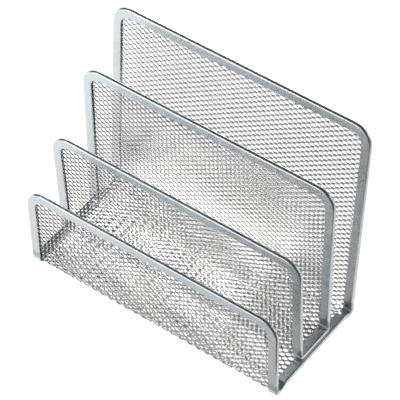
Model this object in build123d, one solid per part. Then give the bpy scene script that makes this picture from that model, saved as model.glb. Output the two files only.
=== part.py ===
"""Desk letter holder made of two bent sheets of expanded steel mesh with rolled steel rims.

The outer sheet is bent into a U: a low front panel, a raised base and a tall back panel.
The inner sheet is a narrower U, two dividers and a floor, welded on top of the base rails.
A folded channel, the rim, binds the free edges of each sheet.

Millimetres and degrees. X runs along the width, +Y to the back, +Z up.
The origin is on the desk, midway between the sides and midway between the front and back edges.
"""
import math
import os

from build123d import *

# Heights of the panels, from the desk to the top of each rim
front_height = 61.3
front_divider_height = 88.1
back_divider_height = 118.0
back_height = 142.0

# Spacing of the panels along Y, from lower bend to lower bend
front_slot_depth = 26.0
middle_slot_depth = 26.6
back_slot_depth = 22.1

# Lean of each panel from upright, positive to the back
front_lean = -1.7
front_divider_lean = -3.3
back_divider_lean = -0.6
back_lean = 3.3

# Width over the outer rims, and how far the inner rims stand in from them on each side
outer_width = 175.0
inner_step = 1.4

# Rim: a folded channel with a half-round outer edge
rim_band = 6.2
rim_thickness = 2.6
rim_corner_radius = 12.5
slot_wall = 1.6
slot_clearance = 0.05

# Mesh sheet inside the rim's slot
mesh_thickness = 0.8
mesh_edge_clearance = 0.4
mesh_border = 1.2

# Expanded mesh: one real opening and strand, and how many openings each modelled one stands for
real_cell_length = 6.05
real_cell_height = 3.45
real_strand_width = 0.6
mesh_coarseness = 4

# Bends, and the feet that lift the base off the desk
bend_radius = 1.8
bend_straight = 1.2
base_lift = 1.7
foot_flat = 1.6
foot_ramp = 4.4

# Spot welds between the inner rails and the base rails
weld_height = 0.2
weld_diameter = 3.0
weld_end_distance = 6.0
welds_per_rail = 2

# Width over the inner rims
inner_width = outer_width - 2 * inner_step

# Mid-planes of the rails, above the desk
foot_z = rim_thickness / 2
base_z = foot_z + base_lift
floor_z = base_z + rim_thickness + weld_height

# Distances from a sheet's outer edge
mesh_inset = slot_wall + mesh_edge_clearance
opening_inset = mesh_inset + mesh_border

# Modelled mesh
cell_length = real_cell_length * mesh_coarseness
cell_height = real_cell_height * mesh_coarseness
strand_width = real_strand_width * mesh_coarseness


class Panel:
    """One upright panel: its lower bend, its lean and its size in its own plane."""

    def __init__(self, bend_y, bend_z, height, lean, width):
        self.bend_y = bend_y
        self.bend_z = bend_z
        self.width = width
        self.sine = math.sin(math.radians(lean))
        self.cosine = math.cos(math.radians(lean))
        self.length = (height - bend_z - rim_thickness / 2) / self.cosine + rim_thickness / 2

    def point(self, distance):
        """Point (y, z) on the mid-plane, at a distance up from the lower bend."""
        return (self.bend_y + distance * self.sine, self.bend_z + distance * self.cosine)

    def plane(self):
        """The panel's own plane: x along the width, y up the panel, z out of its front."""
        return Plane((0, self.bend_y, self.bend_z), x_dir=(1, 0, 0), z_dir=(0, -self.cosine, self.sine))


joint_height = bend_radius + bend_straight
foot_end = bend_radius + foot_flat
ramp_end = foot_end + foot_ramp

front_bend_y = 0.0
front_divider_bend_y = front_bend_y + front_slot_depth
back_divider_bend_y = front_divider_bend_y + middle_slot_depth
back_bend_y = back_divider_bend_y + back_slot_depth

front = Panel(front_bend_y, foot_z, front_height, front_lean, outer_width)
back = Panel(back_bend_y, foot_z, back_height, back_lean, outer_width)
front_divider = Panel(front_divider_bend_y, floor_z, front_divider_height, front_divider_lean, inner_width)
back_divider = Panel(back_divider_bend_y, floor_z, back_divider_height, back_divider_lean, inner_width)

# The origin lies midway between the top edges of the front and back panels
front_edge_y = front.point(front.length - rim_thickness / 2)[0]
back_edge_y = back.point(back.length - rim_thickness / 2)[0]
to_origin = Location((0, -(front_edge_y + back_edge_y) / 2, 0))


def channel_section():
    """Section of the rim: x inwards from its half-round edge, y through its thickness."""
    half = rim_thickness / 2
    slot_half = mesh_thickness / 2 + slot_clearance
    edge = ThreePointArc((half, half), (0, 0), (half, -half))
    legs = Polyline(
        (half, -half),
        (rim_band, -half),
        (rim_band, -slot_half),
        (slot_wall, -slot_half),
        (slot_wall, slot_half),
        (rim_band, slot_half),
        (rim_band, half),
        (half, half),
    )
    return Face(Wire([edge, *legs.edges()]))


def panel_rim(panel):
    """Rim round a panel: up one side, over two rounded corners and down the other side."""
    side = panel.width / 2
    path = FilletPolyline(
        (-side, joint_height),
        (-side, panel.length),
        (side, panel.length),
        (side, joint_height),
        radius=rim_corner_radius,
    )
    start = Plane((-side, joint_height, 0), x_dir=(1, 0, 0), z_dir=(0, 1, 0))
    return panel.plane() * sweep(start * channel_section(), path=path)


def rounded_sheet(width, top, bottom, corner_radius):
    """Flat face in a panel's plane, with its two upper corners rounded."""
    sheet = Pos(0, (top + bottom) / 2) * Rectangle(width, top - bottom)
    return fillet(sheet.vertices().group_by(Axis.Y)[-1], corner_radius).face()


def diamond():
    """One opening of the mesh: the strands' diamond less half a strand on each side."""
    half_length = cell_length / 2
    half_height = cell_height / 2
    side_distance = half_length * half_height / math.hypot(half_length, half_height)
    share = (side_distance - strand_width / 2) / side_distance
    return Polygon(
        (-half_length * share, 0),
        (0, -half_height * share),
        (half_length * share, 0),
        (0, half_height * share),
    ).face()


def mesh_openings(region):
    """Diamonds in staggered rows over a flat region, those at its border cut along it."""
    box = region.bounding_box()
    middle = box.center()
    rows = math.ceil(box.size.Y / cell_height) + 1
    columns = math.ceil(box.size.X / cell_length / 2) + 1
    smallest = strand_width * strand_width
    openings = []
    for row in range(-rows, rows + 1):
        shift = cell_length / 2 if row % 2 else 0
        for column in range(-columns, columns + 1):
            place = Pos(middle.X + column * cell_length + shift, middle.Y + row * cell_height / 2)
            cell = place * diamond()
            if all(region.is_inside(corner.center()) for corner in cell.vertices()):
                openings.append(cell)
                continue
            for piece in (region & cell or ShapeList()).faces():
                if piece.area > smallest:
                    openings.append(piece)
    return openings


def panel_mesh(panel):
    """Mesh sheet of a panel, from the joint above its lower bend to inside the rim's slot."""
    outline = rounded_sheet(
        panel.width - 2 * mesh_inset,
        panel.length - mesh_inset,
        joint_height,
        rim_corner_radius - mesh_inset,
    )
    region = rounded_sheet(
        panel.width - 2 * opening_inset,
        panel.length - opening_inset,
        joint_height + mesh_border,
        rim_corner_radius - opening_inset,
    )
    holed = Face(outline.outer_wire(), [cell.outer_wire() for cell in mesh_openings(region)])
    return panel.plane() * extrude(holed, amount=mesh_thickness / 2, both=True)


def base_route():
    """Side view of the base as points (y, z): front joint, bend, foot, ramp, base and the same behind."""
    return [
        front.point(joint_height),
        (front.bend_y, foot_z),
        (front.bend_y + foot_end, foot_z),
        (front.bend_y + ramp_end, base_z),
        (back.bend_y - ramp_end, base_z),
        (back.bend_y - foot_end, foot_z),
        (back.bend_y, foot_z),
        back.point(joint_height),
    ]


def floor_route():
    """Side view of the inner floor as points (y, z), from one divider's joint to the other's."""
    middle_y = (front_divider.bend_y + back_divider.bend_y) / 2
    return [
        front_divider.point(joint_height),
        (front_divider.bend_y, floor_z),
        (middle_y, floor_z),
        (back_divider.bend_y, floor_z),
        back_divider.point(joint_height),
    ]


def swept_along(route, section, x, inwards):
    """Sweep a section along a side-view route at the given x, rounded at its first and last bend."""
    side_view = Plane((x, 0, 0), x_dir=(0, 1, 0), z_dir=(1, 0, 0))
    first_bend = FilletPolyline(*route[:3], radius=bend_radius)
    last_bend = FilletPolyline(*route[-3:], radius=bend_radius)
    runs = [Line(a, b) for a, b in zip(route[2:-3], route[3:-2])]
    path = side_view * Wire([*first_bend.edges(), *runs, *last_bend.edges()])
    start_point = Vector(x, *route[0])
    start = Plane(start_point, x_dir=(inwards, 0, 0), z_dir=Vector(x, *route[1]) - start_point)
    return sweep(start * section, path=path, transition=Transition.RIGHT)


def bottom_mesh(route, width, first_y, last_y):
    """Bent mesh sheet between two panels, with openings from first_y to last_y."""
    sheet = swept_along(route, Rectangle(width - 2 * mesh_inset, mesh_thickness), 0, 1)
    region = Pos(0, (first_y + last_y) / 2) * Rectangle(width - 2 * opening_inset, last_y - first_y)
    top = max(z for _, z in route)
    cutters = [extrude(cell, amount=top) for cell in mesh_openings(region.face())]
    return sheet - cutters


def rails(route, width):
    """Right and left rail of a bent sheet's rim."""
    right = swept_along(route, channel_section(), width / 2, -1)
    return right, mirror(right, about=Plane.YZ)


def rail_welds():
    """Weld nuggets between the inner rails and the base rails, on both sides."""
    outer_limit = inner_width / 2 - rim_thickness / 2
    inner_limit = outer_width / 2 - rim_band
    weld_x = (outer_limit + inner_limit) / 2
    first_y = front_divider.bend_y + weld_end_distance
    last_y = back_divider.bend_y - weld_end_distance
    step = (last_y - first_y) / (welds_per_rail - 1)
    bottom = base_z + rim_thickness / 2
    nugget = Cylinder(weld_diameter / 2, weld_height, align=(Align.CENTER, Align.CENTER, Align.MIN))
    places = [(x, first_y + index * step) for x in (-weld_x, weld_x) for index in range(welds_per_rail)]
    return Compound([Pos(x, y, bottom) * nugget for x, y in places])


base = base_route()
floor = floor_route()
base_rail_right, base_rail_left = rails(base, outer_width)
floor_rail_right, floor_rail_left = rails(floor, inner_width)

nodes = {
    "front_mesh": panel_mesh(front),
    "base_mesh": bottom_mesh(base, outer_width, front.bend_y + foot_end, back.bend_y - foot_end),
    "back_mesh": panel_mesh(back),
    "front_rim": panel_rim(front),
    "base_rim_left": base_rail_left,
    "base_rim_right": base_rail_right,
    "back_rim": panel_rim(back),
    "divider_front_mesh": panel_mesh(front_divider),
    "divider_floor_mesh": bottom_mesh(
        floor,
        inner_width,
        front_divider.bend_y + joint_height,
        back_divider.bend_y - joint_height,
    ),
    "divider_back_mesh": panel_mesh(back_divider),
    "divider_front_rim": panel_rim(front_divider),
    "divider_floor_rim_left": floor_rail_left,
    "divider_floor_rim_right": floor_rail_right,
    "divider_back_rim": panel_rim(back_divider),
    "divider_welds": rail_welds(),
}

os.makedirs("parts", exist_ok=True)
for name, shape in nodes.items():
    export_step(to_origin * shape, f"parts/{name}.step")
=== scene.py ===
"""Desk letter holder: two bent sheets of fine expanded steel mesh in folded rims, silver paint.

The fine mesh and the thin-walled rims are laid out flat on each developed sheet, with u across
the width and v along the sheet, and then folded along the sheet's side view. Sizes are in
millimetres and degrees, as in the solids, and become metres when a piece is made.
"""

import math

import bmesh
import bpy
import numpy as np
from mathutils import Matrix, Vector


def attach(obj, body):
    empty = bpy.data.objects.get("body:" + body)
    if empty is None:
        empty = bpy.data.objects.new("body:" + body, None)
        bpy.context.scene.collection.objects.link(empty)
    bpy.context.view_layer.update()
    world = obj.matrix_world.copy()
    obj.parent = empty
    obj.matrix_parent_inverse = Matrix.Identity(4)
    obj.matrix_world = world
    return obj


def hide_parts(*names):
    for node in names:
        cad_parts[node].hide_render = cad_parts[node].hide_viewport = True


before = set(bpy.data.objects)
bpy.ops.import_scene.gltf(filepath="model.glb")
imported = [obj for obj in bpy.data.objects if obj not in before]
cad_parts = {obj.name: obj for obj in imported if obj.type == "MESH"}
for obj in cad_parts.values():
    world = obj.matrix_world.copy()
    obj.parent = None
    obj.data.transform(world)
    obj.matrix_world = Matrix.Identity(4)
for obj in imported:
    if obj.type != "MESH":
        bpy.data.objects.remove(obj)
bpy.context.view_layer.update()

# Panels, as in the solids: lower bend (y, z), height of the rim's top and lean to the back
front_panel = dict(bend=(-40.498, 1.3), height=61.3, lean=-1.7)
front_divider = dict(bend=(-14.498, 5.8), height=88.1, lean=-3.3)
back_divider = dict(bend=(12.102, 5.8), height=118.0, lean=-0.6)
back_panel = dict(bend=(34.202, 1.3), height=142.0, lean=3.3)
outer_width = 175.0
inner_width = 172.2

# Bends, and the feet that lift the base off the desk
bend_radius = 1.8
bend_straight = 1.2
base_z = 3.0
foot_flat = 1.6
foot_ramp = 4.4
ramp_radius = 1.5

# Rim: a thin strip folded over the sheet's edge
rim_band = 6.2
rim_thickness = 2.6
rim_wall = 0.5
rim_corner_radius = 12.5
rim_ease = 0.35

# Expanded mesh: pitch of the openings, size of a six-sided opening and of its flat edges, and how far
# those edges stand out of the sheet at the sheet's first and last end
cell_length = 5.97
cell_height = 3.5
opening_length = 3.9
opening_height = 2.5
opening_flat = 1.6
sheet_thickness = 0.75
outer_strand_tilts = (-0.2, 0.06)
inner_strand_tilts = (-0.25, -0.08)
mesh_inset = 1.7
outer_mesh_turn = 1.8
inner_mesh_turn = 1.4

# Camera
camera_aim = (-0.413, 5.779, 64.605)
camera_azimuth = 36.3206
camera_elevation = 46.7797
camera_distance = 1293.98
camera_lens = 206.88
camera_sensor = 36
camera_reach = 20

# Paint of the rims and of the mesh
rim_look = dict(colour=(0.622, 0.663, 0.688), roughness=0.27, metallic=0.8)
mesh_look = dict(colour=(0.7, 0.697, 0.692), roughness=0.22, metallic=0.95)

# Detail of the paint: noise scales, ranges of tone and gloss, wear on sharp edges, and bump in metres
flake_scale = 5200
peel_scale = 900
slow_scale = 38
flake_tone = (0.9, 1.1)
slow_tone = (0.96, 1.04)
gloss_range = 0.03
worn_colour = (0.8, 0.81, 0.82)
worn_from = 0.53
worn_to = 0.62
worn_most = 0.25
wear_breaks = (0.2, 1.0)
bump_strength = 0.25
bump_distance = 0.00006

# Fineness of the shapes: points round the rim's section and along its path, and steps round a bend
edge_points = 15
inner_edge_points = 9
lip_points = 6
corner_points = 13
span_points = 16
station_spacing = 8
nearest_station = 0.05
bend_step_angle = 0.12
fewest_bend_steps = 4
negligible = 1e-6

millimetre = 0.001


class Sheet:
    """A bent sheet: where a point (u, v, n) of the flat sheet ends up once it is folded."""

    def __init__(self, corners, radii, width, mesh_turn, strand_tilts):
        self.width = width
        self.mesh_turn = math.radians(mesh_turn)
        self.strand_tilts = strand_tilts
        self.follow(corners, radii)
        along = np.hypot(np.diff(self.y), np.diff(self.z))
        self.v = np.concatenate([[0.0], np.cumsum(along)])
        self.length = float(self.v[-1])

    def follow(self, corners, radii):
        """Sample the side view (y, z) and its direction, with an arc at each inner corner."""
        points = []
        angles = []
        corners = [np.array(corner, float) for corner in corners]
        start = corners[0]
        for before, corner, after, radius in zip(corners, corners[1:], corners[2:], radii):
            arriving = (corner - before) / np.linalg.norm(corner - before)
            leaving = (after - corner) / np.linalg.norm(after - corner)
            first = math.atan2(arriving[1], arriving[0])
            turn = math.atan2(arriving[0] * leaving[1] - arriving[1] * leaving[0], arriving @ leaving)
            reach = radius * math.tan(abs(turn) / 2)
            points += [start, corner - arriving * reach]
            angles += [first, first]
            side = math.copysign(1, turn)
            centre = corner - arriving * reach + side * radius * np.array([-arriving[1], arriving[0]])
            steps = max(fewest_bend_steps, math.ceil(abs(turn) / bend_step_angle))
            for step in range(1, steps + 1):
                angle = first + turn * step / steps
                points.append(centre - side * radius * np.array([-math.sin(angle), math.cos(angle)]))
                angles.append(angle)
            start = points.pop()
            angles.pop()
        last = corners[-1] - start
        points += [start, corners[-1]]
        angles += [math.atan2(last[1], last[0])] * 2
        self.y, self.z = np.array(points).T
        self.angle = np.unwrap(angles)

    def fold(self, u, v, n):
        """Folded place of flat points; n is the distance out of the sheet, to the outside of the U."""
        y = np.interp(v, self.v, self.y)
        z = np.interp(v, self.v, self.z)
        angle = np.interp(v, self.v, self.angle)
        return np.stack([u, y + n * np.sin(angle), z - n * np.cos(angle)], -1)


def panel_top(panel):
    """Top of a panel's mid-plane (y, z)."""
    lean = math.radians(panel["lean"])
    bend_y, bend_z = panel["bend"]
    length = (panel["height"] - bend_z - rim_thickness / 2) / math.cos(lean) + rim_thickness / 2
    return (bend_y + length * math.sin(lean), bend_z + length * math.cos(lean))


def outer_sheet():
    """Front panel, base on its two feet, and back panel."""
    front_y, foot_z = front_panel["bend"]
    back_y = back_panel["bend"][0]
    flat_end = bend_radius + foot_flat
    ramp_end = flat_end + foot_ramp
    corners = [
        panel_top(front_panel),
        (front_y, foot_z),
        (front_y + flat_end, foot_z),
        (front_y + ramp_end, base_z),
        (back_y - ramp_end, base_z),
        (back_y - flat_end, foot_z),
        (back_y, foot_z),
        panel_top(back_panel),
    ]
    radii = [bend_radius, ramp_radius, ramp_radius, ramp_radius, ramp_radius, bend_radius]
    return Sheet(corners, radii, outer_width, outer_mesh_turn, outer_strand_tilts)


def inner_sheet():
    """Front divider, floor and back divider."""
    corners = [
        panel_top(front_divider),
        front_divider["bend"],
        back_divider["bend"],
        panel_top(back_divider),
    ]
    radii = [bend_radius, bend_radius]
    return Sheet(corners, radii, inner_width, inner_mesh_turn, inner_strand_tilts)


def joints(sheet):
    """The two places along v where a sheet's panels meet its bottom, just above the bends."""
    bends = np.flatnonzero(np.abs(np.diff(sheet.angle)) > negligible)
    first_arc = sheet.v[bends[0]]
    last_arc = sheet.v[bends[-1] + 1]
    return first_arc - bend_straight, last_arc + bend_straight


def new_piece(name, vertices, faces, material, smooth):
    """Mesh object from points in millimetres."""
    mesh = bpy.data.meshes.new(name)
    mesh.from_pydata((np.asarray(vertices) * millimetre).tolist(), [], faces)
    mesh.materials.append(material)
    piece = bpy.data.objects.new(name, mesh)
    bpy.context.scene.collection.objects.link(piece)
    if smooth:
        mesh.polygons.foreach_set("use_smooth", [True] * len(mesh.polygons))
    mesh.update()
    return piece


def channel_section():
    """Closed outline of the folded strip as rows (d, n): d inwards from the edge, n out of the sheet."""
    outside = rim_thickness / 2
    inside = outside - rim_wall
    lip = rim_wall / 2
    middle = outside - lip
    lip_start = rim_band - lip
    ease = rim_ease
    section = [(lip_start, outside), (lip_start - ease, outside), (outside + ease, outside)]
    section += [
        (outside - outside * math.sin(angle), outside * math.cos(angle))
        for angle in np.linspace(0, math.pi, edge_points)
    ]
    section += [(outside + ease, -outside), (lip_start - ease, -outside), (lip_start, -outside)]
    section += [
        (lip_start + lip * math.sin(angle), -middle - lip * math.cos(angle))
        for angle in np.linspace(0, math.pi, lip_points)[1:-1]
    ]
    section += [(lip_start, -inside), (outside + ease, -inside)]
    section += [
        (outside - inside * math.sin(angle), -inside * math.cos(angle))
        for angle in np.linspace(0, math.pi, inner_edge_points)
    ]
    section += [(outside + ease, inside), (lip_start, inside)]
    section += [
        (lip_start + lip * math.sin(angle), middle - lip * math.cos(angle))
        for angle in np.linspace(0, math.pi, lip_points)[1:-1]
    ]
    return np.array(section)


def side_stations(sheet, first, last):
    """Places along v on a straight side: close together on the bends, far apart between them."""
    known = sheet.v[(sheet.v > first + nearest_station) & (sheet.v < last - nearest_station)]
    stations = [first, *known, last]
    filled = [first]
    for station in stations[1:]:
        gaps = max(1, math.ceil((station - filled[-1]) / station_spacing))
        start = filled[-1]
        filled += [start + (station - start) * step / gaps for step in range(1, gaps + 1)]
    return filled


def hoop_path(sheet, joint, end):
    """Rows (u, v, inward u, inward v) of a panel's rim: up the left side, over and down the right."""
    radius = rim_corner_radius
    into = 1 if end == 0 else -1
    corner_u = sheet.width / 2 - radius
    corner_v = end + into * radius
    upwards = side_stations(sheet, *sorted((joint, corner_v)))
    if end == 0:
        upwards.reverse()
    turns = np.linspace(0, math.pi / 2, corner_points)[1:]

    path = [(-sheet.width / 2, v, 1, 0) for v in upwards]
    for turn in turns:
        inward_u, inward_v = math.cos(turn), into * math.sin(turn)
        path.append((-corner_u - radius * inward_u, corner_v - radius * inward_v, inward_u, inward_v))
    for u in np.linspace(-corner_u, corner_u, span_points)[1:]:
        path.append((u, end, 0, into))
    for turn in turns:
        inward_u, inward_v = -math.sin(turn), into * math.cos(turn)
        path.append((corner_u - radius * inward_u, corner_v - radius * inward_v, inward_u, inward_v))
    path += [(sheet.width / 2, v, -1, 0) for v in reversed(upwards)]

    cleaned = [path[0]]
    for row in path[1:]:
        if math.dist(row[:2], cleaned[-1][:2]) > negligible:
            cleaned.append(row)
    return np.array(cleaned)


def rail_path(sheet, first, last, inward):
    """Path rows of one side's rail, from one joint to the other."""
    side = -inward * sheet.width / 2
    return np.array([(side, v, inward, 0) for v in side_stations(sheet, first, last)])


def make_rim(name, sheet, path, material):
    """Sweep the folded strip along a path on the flat sheet, and fold it."""
    section = channel_section()
    rows = len(path)
    points = len(section)
    u = path[:, None, 0] + path[:, None, 2] * section[None, :, 0]
    v = path[:, None, 1] + path[:, None, 3] * section[None, :, 0]
    n = np.broadcast_to(section[None, :, 1], u.shape)
    vertices = sheet.fold(u, v, n).reshape(-1, 3)
    faces = []
    for row in range(rows - 1):
        for point in range(points):
            after = (point + 1) % points
            faces.append((row * points + point, row * points + after,
                          (row + 1) * points + after, (row + 1) * points + point))
    faces.append(tuple(range(points)))
    faces.append(tuple(range((rows - 1) * points, rows * points)))
    piece = new_piece(name, vertices, faces, material, True)
    outward_faces(piece)
    return piece


def outward_faces(piece):
    """Turn all faces of a closed piece outwards."""
    work = bmesh.new()
    work.from_mesh(piece.data)
    bmesh.ops.recalc_face_normals(work, faces=work.faces[:])
    work.to_mesh(piece.data)
    work.free()


class Lattice:
    """Expanded mesh over a flat sheet: openings in staggered rows, strands and bonds between them."""

    def __init__(self, sheet):
        self.sheet = sheet
        self.tip = opening_length / 2
        self.shoulder = opening_flat / 2
        self.rise = opening_height / 2
        self.vertices = []
        self.index = {}

    def inside(self, u, v):
        """Whether a flat point lies within the rim, clear of its folded edge."""
        half = self.sheet.width / 2 - mesh_inset
        half_v = self.sheet.length / 2 - mesh_inset
        radius = rim_corner_radius - mesh_inset
        over_u = max(abs(u) - (half - radius), 0)
        over_v = max(abs(v - self.sheet.length / 2) - (half_v - radius), 0)
        return over_u * over_u + over_v * over_v < radius * radius

    def tilt(self, v):
        """How far an opening's edges at v stand out of the sheet."""
        first, last = self.sheet.strand_tilts
        return first + (last - first) * v / self.sheet.length

    def place(self, column, row, du=0.0, dv=0.0):
        """Flat place (u, v) beside a crossing, on a lattice that lies slightly askew on its sheet."""
        along = column * cell_length / 2 + du
        across = row * cell_height / 2 + dv
        cosine = math.cos(self.sheet.mesh_turn)
        sine = math.sin(self.sheet.mesh_turn)
        return (along * cosine - across * sine, self.sheet.length / 2 + along * sine + across * cosine)

    def corner(self, column, row, name):
        """Index of an opening's corner; the tilt lifts its lower edge out and sinks its upper edge."""
        key = (column, row, name)
        if key not in self.index:
            tilt = self.tilt(self.place(column, row)[1])
            offsets = {
                "left": (-self.tip, 0, 0),
                "right": (self.tip, 0, 0),
                "top_left": (-self.shoulder, self.rise, -tilt),
                "top_right": (self.shoulder, self.rise, -tilt),
                "bottom_left": (-self.shoulder, -self.rise, tilt),
                "bottom_right": (self.shoulder, -self.rise, tilt),
            }
            du, dv, dn = offsets[name]
            self.index[key] = len(self.vertices)
            self.vertices.append((*self.place(column, row, du, dv), dn))
        return self.index[key]

    def faces(self):
        """Faces of the sheet's outside, with their v: a bond at each crossing and two strands by it."""
        columns = math.ceil(self.sheet.width / cell_length) + 4
        rows = math.ceil(self.sheet.length / cell_height) + 4
        for row in range(-rows, rows + 1):
            for column in range(-columns, columns + 1):
                if (row + column) % 2 == 0:
                    continue
                u, v = self.place(column, row)
                if not self.inside(u, v):
                    continue
                left = (column - 1, row)
                right = (column + 1, row)
                above = (column, row + 1)
                below = (column, row - 1)
                yield v, [
                    self.corner(*left, "right"),
                    self.corner(*below, "top_left"),
                    self.corner(*below, "top_right"),
                    self.corner(*right, "left"),
                    self.corner(*above, "bottom_right"),
                    self.corner(*above, "bottom_left"),
                ]
                if self.inside(*self.place(column + 1, row + 1)):
                    yield v + cell_height / 4, [
                        self.corner(*right, "left"),
                        self.corner(*right, "top_left"),
                        self.corner(*above, "right"),
                        self.corner(*above, "bottom_right"),
                    ]
                if self.inside(*self.place(column + 1, row - 1)):
                    yield v - cell_height / 4, [
                        self.corner(*below, "top_right"),
                        self.corner(*below, "right"),
                        self.corner(*right, "bottom_left"),
                        self.corner(*right, "left"),
                    ]


def make_meshes(names, sheet, material):
    """Fine mesh pieces of one sheet, parted at the joints so that each stands for one solid."""
    first_joint, last_joint = joints(sheet)
    lattice = Lattice(sheet)
    parts = {name: [] for name in names}
    for v, face in lattice.faces():
        place_in_sheet = int(v >= first_joint) + int(v >= last_joint)
        parts[names[place_in_sheet]].append(face)
    flat = np.array(lattice.vertices)
    pieces = {}
    for name, outside in parts.items():
        used = sorted({corner for face in outside for corner in face})
        place = {corner: number for number, corner in enumerate(used)}
        count = len(used)
        rows = flat[used]
        upper = sheet.fold(rows[:, 0], rows[:, 1], rows[:, 2] + sheet_thickness / 2)
        lower = sheet.fold(rows[:, 0], rows[:, 1], rows[:, 2] - sheet_thickness / 2)
        faces = []
        edges = {}
        for face in outside:
            corners = [place[corner] for corner in face]
            faces.append(tuple(corners))
            faces.append(tuple(count + corner for corner in reversed(corners)))
            for start, end in zip(corners, corners[1:] + corners[:1]):
                edges[(start, end)] = True
        for start, end in edges:
            if (end, start) not in edges:
                faces.append((end, start, count + start, count + end))
        piece = new_piece(name + "_fine", np.concatenate([upper, lower]), faces, material, False)
        outward_faces(piece)
        pieces[name] = piece
    return pieces


def silver_paint(name, colour, roughness, metallic):
    """Silver paint on steel: fine flake, soft orange peel, slow variation and bright worn edges."""
    material = bpy.data.materials.new(name)
    material.use_nodes = True
    nodes = material.node_tree.nodes
    links = material.node_tree.links
    shader = nodes["Principled BSDF"]
    shader.inputs["Metallic"].default_value = metallic
    place = nodes.new("ShaderNodeTexCoord")

    def noise(scale, detail):
        texture = nodes.new("ShaderNodeTexNoise")
        texture.inputs["Scale"].default_value = scale
        texture.inputs["Detail"].default_value = detail
        links.new(place.outputs["Object"], texture.inputs["Vector"])
        return texture.outputs["Fac"]

    def spread(value, low, high):
        node = nodes.new("ShaderNodeMapRange")
        node.inputs["From Min"].default_value = 0.3
        node.inputs["From Max"].default_value = 0.7
        node.inputs["To Min"].default_value = low
        node.inputs["To Max"].default_value = high
        links.new(value, node.inputs["Value"])
        return node.outputs["Result"]

    def combine(operation, first, second):
        node = nodes.new("ShaderNodeMath")
        node.operation = operation
        links.new(first, node.inputs[0])
        links.new(second, node.inputs[1])
        return node.outputs["Value"]

    flake = noise(flake_scale, detail=1)
    slow = noise(slow_scale, detail=3)
    peel = noise(peel_scale, detail=2)

    tone = combine("MULTIPLY", spread(flake, *flake_tone), spread(slow, *slow_tone))
    paint = nodes.new("ShaderNodeMix")
    paint.data_type = "RGBA"
    paint.blend_type = "MULTIPLY"
    paint.inputs["Factor"].default_value = 1.0
    paint.inputs["A"].default_value = (*colour, 1)
    links.new(tone, paint.inputs["B"])

    geometry = nodes.new("ShaderNodeNewGeometry")
    worn = nodes.new("ShaderNodeMapRange")
    worn.inputs["From Min"].default_value = worn_from
    worn.inputs["From Max"].default_value = worn_to
    worn.inputs["To Max"].default_value = worn_most
    links.new(geometry.outputs["Pointiness"], worn.inputs["Value"])
    wear = combine("MULTIPLY", worn.outputs["Result"], spread(peel, *wear_breaks))
    edge = nodes.new("ShaderNodeMix")
    edge.data_type = "RGBA"
    edge.inputs["B"].default_value = (*worn_colour, 1)
    links.new(wear, edge.inputs["Factor"])
    links.new(paint.outputs["Result"], edge.inputs["A"])
    links.new(edge.outputs["Result"], shader.inputs["Base Color"])

    flake_gloss = spread(flake, -gloss_range, gloss_range)
    slow_gloss = spread(slow, roughness - gloss_range, roughness + gloss_range)
    links.new(combine("ADD", flake_gloss, slow_gloss), shader.inputs["Roughness"])

    bump = nodes.new("ShaderNodeBump")
    bump.inputs["Strength"].default_value = bump_strength
    bump.inputs["Distance"].default_value = bump_distance
    links.new(combine("ADD", flake, peel), bump.inputs["Height"])
    links.new(bump.outputs["Normal"], shader.inputs["Normal"])
    return material


def glowing(name, strength):
    """Plain white glow for the table and the soft cards round it."""
    material = bpy.data.materials.new(name)
    material.use_nodes = True
    nodes = material.node_tree.nodes
    nodes.remove(nodes["Principled BSDF"])
    glow = nodes.new("ShaderNodeEmission")
    glow.inputs["Color"].default_value = (1, 1, 1, 1)
    glow.inputs["Strength"].default_value = strength
    material.node_tree.links.new(glow.outputs["Emission"], nodes["Material Output"].inputs["Surface"])
    return material


def glowing_table(name, left, right):
    """White glow of the lit table, fading from left to right; each end is (x in metres, strength)."""
    left_x, left_strength = left
    right_x, right_strength = right
    material = glowing(name, left_strength)
    nodes = material.node_tree.nodes
    links = material.node_tree.links
    place = nodes.new("ShaderNodeTexCoord")
    axes = nodes.new("ShaderNodeSeparateXYZ")
    fade = nodes.new("ShaderNodeMapRange")
    fade.inputs["From Min"].default_value = left_x
    fade.inputs["From Max"].default_value = right_x
    fade.inputs["To Min"].default_value = left_strength
    fade.inputs["To Max"].default_value = right_strength
    links.new(place.outputs["Object"], axes.inputs["Vector"])
    links.new(axes.outputs["X"], fade.inputs["Value"])
    links.new(fade.outputs["Result"], nodes["Emission"].inputs["Strength"])
    return material


def level_plate(name, corners, height, material):
    """Level plate with the given corners (x, y), in metres."""
    mesh = bpy.data.meshes.new(name)
    mesh.from_pydata([(x, y, height) for x, y in corners], [], [tuple(range(len(corners)))])
    mesh.materials.append(material)
    plate = bpy.data.objects.new(name, mesh)
    bpy.context.scene.collection.objects.link(plate)
    return plate


def area_light(name, place, aim, size, power):
    """Rectangular soft light at a place, turned towards its aim, in metres."""
    light = bpy.data.lights.new(name, "AREA")
    light.shape = "RECTANGLE"
    light.size, light.size_y = size
    light.energy = power
    lamp = bpy.data.objects.new(name, light)
    lamp.location = place
    lamp.rotation_euler = (Vector(aim) - Vector(place)).to_track_quat("-Z", "Y").to_euler()
    bpy.context.scene.collection.objects.link(lamp)
    return lamp


rim_paint = silver_paint("silver_paint", **rim_look)
mesh_paint = silver_paint("silver_mesh_paint", **mesh_look)

outer = outer_sheet()
inner = inner_sheet()

outer_meshes = ("front_mesh", "base_mesh", "back_mesh")
inner_meshes = ("divider_front_mesh", "divider_floor_mesh", "divider_back_mesh")
outer_rims = ("front_rim", "base_rim_left", "base_rim_right", "back_rim")
inner_rims = (
    "divider_front_rim",
    "divider_floor_rim_left",
    "divider_floor_rim_right",
    "divider_back_rim",
)

fine_meshes = make_meshes(outer_meshes, outer, mesh_paint)
fine_meshes |= make_meshes(inner_meshes, inner, mesh_paint)
for node, piece in fine_meshes.items():
    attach(piece, "root")
    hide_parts(node)

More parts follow.
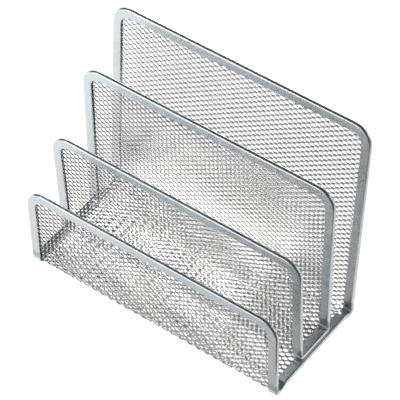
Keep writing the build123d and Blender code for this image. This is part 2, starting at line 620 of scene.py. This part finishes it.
for sheet, names in ((outer, outer_rims), (inner, inner_rims)):
    first_joint, last_joint = joints(sheet)
    paths = (
        hoop_path(sheet, first_joint, 0),
        rail_path(sheet, first_joint, last_joint, 1),
        rail_path(sheet, first_joint, last_joint, -1),
        hoop_path(sheet, last_joint, sheet.length),
    )
    for node, path in zip(names, paths):
        piece = make_rim(node + "_fine", sheet, path, rim_paint)
        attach(piece, "root")
        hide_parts(node)

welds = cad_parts["divider_welds"]
welds.data.materials.clear()
welds.data.materials.append(rim_paint)

# The camera sees an even white table. The holder is lit by plates at the same level that the camera
# doesn't see: the table round it, a card to its right, and a brighter patch under it.
table_seen = level_plate(
    "table_seen",
    corners=[(-4, -4), (4, -4), (4, 4), (-4, 4)],
    height=-0.0002,
    material=glowing("table_white", strength=1.2),
)
table_seen.visible_diffuse = False
table_seen.visible_glossy = False
table_seen.visible_shadow = False
table_lit = level_plate(
    "table_lit",
    corners=[(-4, -4), (0.06, -4), (0.087, -0.055), (0.087, 4), (-4, 4)],
    height=-0.0004,
    material=glowing_table("table_glow", left=(-0.25, 1.45), right=(0.09, 0.6)),
)
right_card = level_plate(
    "right_card",
    corners=[(0.088, -0.055), (0.7, -0.055), (0.7, 0.7), (0.088, 0.7)],
    height=-0.0004,
    material=glowing("card_white", strength=1.0),
)
under_glow = level_plate(
    "under_glow",
    corners=[(-0.086, -0.028), (0.035, -0.028), (0.035, 0.036), (-0.086, 0.036)],
    height=-0.0003,
    material=glowing("under_white", strength=4.8),
)
for plate in (table_lit, right_card, under_glow):
    plate.visible_camera = False

area_light("key_light", place=(-0.42, -0.40, 0.35), aim=(-0.05, -0.05, 0), size=(0.3, 0.3), power=0.6)
area_light("front_light", place=(-0.35, -1.0, 0.15), aim=(0, 0, 0.06), size=(0.9, 0.4), power=3.5)
area_light("back_light", place=(0.5, 1.0, 0.2), aim=(0, 0, 0.06), size=(0.8, 0.3), power=1)
area_light("back_left_light", place=(-0.45, 1.0, 0.12), aim=(0, 0, 0.08), size=(0.8, 0.25), power=5)
area_light("right_light", place=(0.8, 0.57, 0.3), aim=(0.05, 0, 0.03), size=(0.7, 0.5), power=1.5)

world = bpy.data.worlds.new("studio")
world.use_nodes = True
sky = world.node_tree.nodes["Background"]
sky.inputs["Color"].default_value = (1, 1, 1, 1)
sky.inputs["Strength"].default_value = 0.06
scene = bpy.context.scene
scene.world = world
scene.view_settings.view_transform = "Standard"

azimuth = math.radians(camera_azimuth)
elevation = math.radians(camera_elevation)
backwards = Vector((
    math.sin(azimuth) * math.cos(elevation),
    -math.cos(azimuth) * math.cos(elevation),
    math.sin(elevation),
))
lens = bpy.data.cameras.new("camera")
lens.lens = camera_lens
lens.sensor_width = camera_sensor
lens.clip_end = camera_reach
camera = bpy.data.objects.new("camera", lens)
camera.location = (Vector(camera_aim) + backwards * camera_distance) * millimetre
camera.rotation_euler = backwards.to_track_quat("Z", "Y").to_euler()
scene.collection.objects.link(camera)
scene.camera = camera
